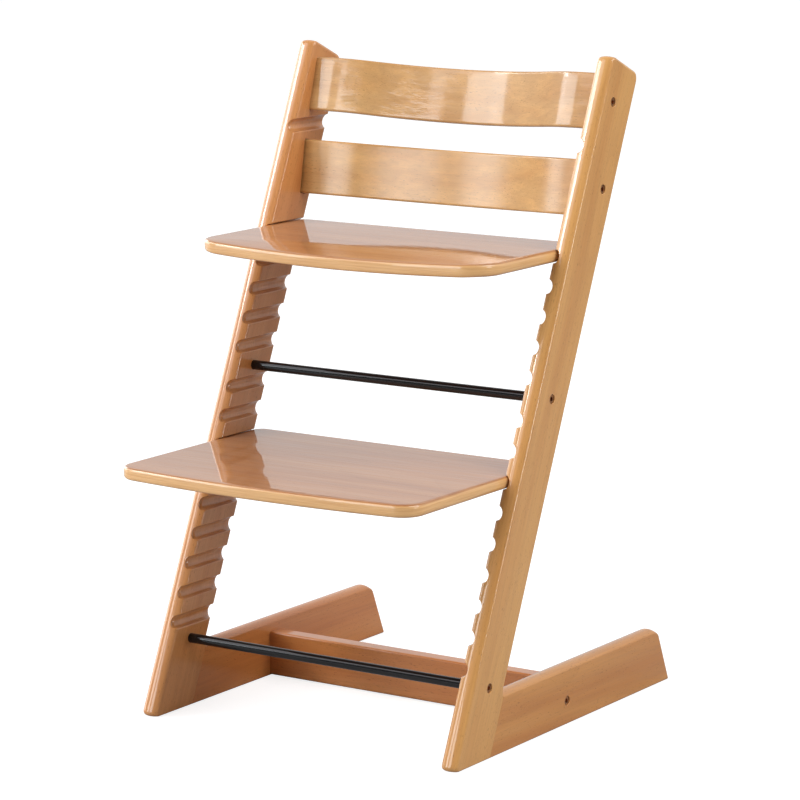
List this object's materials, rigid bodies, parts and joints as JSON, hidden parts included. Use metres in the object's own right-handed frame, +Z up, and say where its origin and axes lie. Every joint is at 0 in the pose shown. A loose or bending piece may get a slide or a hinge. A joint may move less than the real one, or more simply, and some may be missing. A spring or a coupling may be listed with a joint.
{
  "type": "baby high chair",
  "caption": "Wooden grow-along high chair: leaning grooved sides on floor runners, two bent backrests, and a seat plate and a foot plate that slide in the grooves.",
  "frame": {"origin": "on the floor, below the middle of the chair's whole width and depth", "axes": "+X to the right seen from in front, +Y towards the back of the chair, +Z up"},
  "size_m": [0.45, 0.5795, 0.791],
  "materials": {
    "beech_side": "clear gloss varnish on solid beech",
    "beech_base": "clear gloss varnish on solid beech, a little redder",
    "beech_bent": "clear gloss varnish on bent laminated beech",
    "beech_plate": "clear gloss varnish on laminated beech",
    "birch": "raw turned birch",
    "black_steel": "gloss black powder coat",
    "bronze_steel": "dark bronze plating",
    "zinc_steel": "bright zinc plating"
  },
  "bodies": {
    "chair_frame": {"left_upright": "beech_side", "right_upright": "beech_side", "left_runner": "beech_base", "right_runner": "beech_base", "left_runner_dowels": "birch", "right_runner_dowels": "birch", "stretcher": "beech_base", "stretcher_dowels": "birch", "upper_backrest": "beech_bent", "lower_backrest": "beech_bent", "upper_rod": "black_steel", "lower_rod": "black_steel", "left_upper_rod_bolt": "bronze_steel", "right_upper_rod_bolt": "bronze_steel", "left_lower_rod_bolt": "bronze_steel", "right_lower_rod_bolt": "bronze_steel", "left_upper_backrest_bolt": "bronze_steel", "right_upper_backrest_bolt": "bronze_steel", "left_lower_backrest_bolt": "bronze_steel", "right_lower_backrest_bolt": "bronze_steel", "left_stretcher_bolt": "bronze_steel", "right_stretcher_bolt": "bronze_steel", "left_upper_backrest_nut": "zinc_steel", "right_upper_backrest_nut": "zinc_steel", "left_lower_backrest_nut": "zinc_steel", "right_lower_backrest_nut": "zinc_steel", "left_stretcher_nut": "zinc_steel", "right_stretcher_nut": "zinc_steel"},
    "seat": {"seat_plate": "beech_plate"},
    "footrest": {"foot_plate": "beech_plate"}
  },
  "joints": [
    {"name": "seat_slide", "type": "slide", "parent": "chair_frame", "child": "seat", "axis": [0, 1, 0], "range_m": [-0.03, 0.05]},
    {"name": "foot_slide", "type": "slide", "parent": "chair_frame", "child": "footrest", "axis": [0, 1, 0], "range_m": [-0.03, 0.08]}
  ]
}
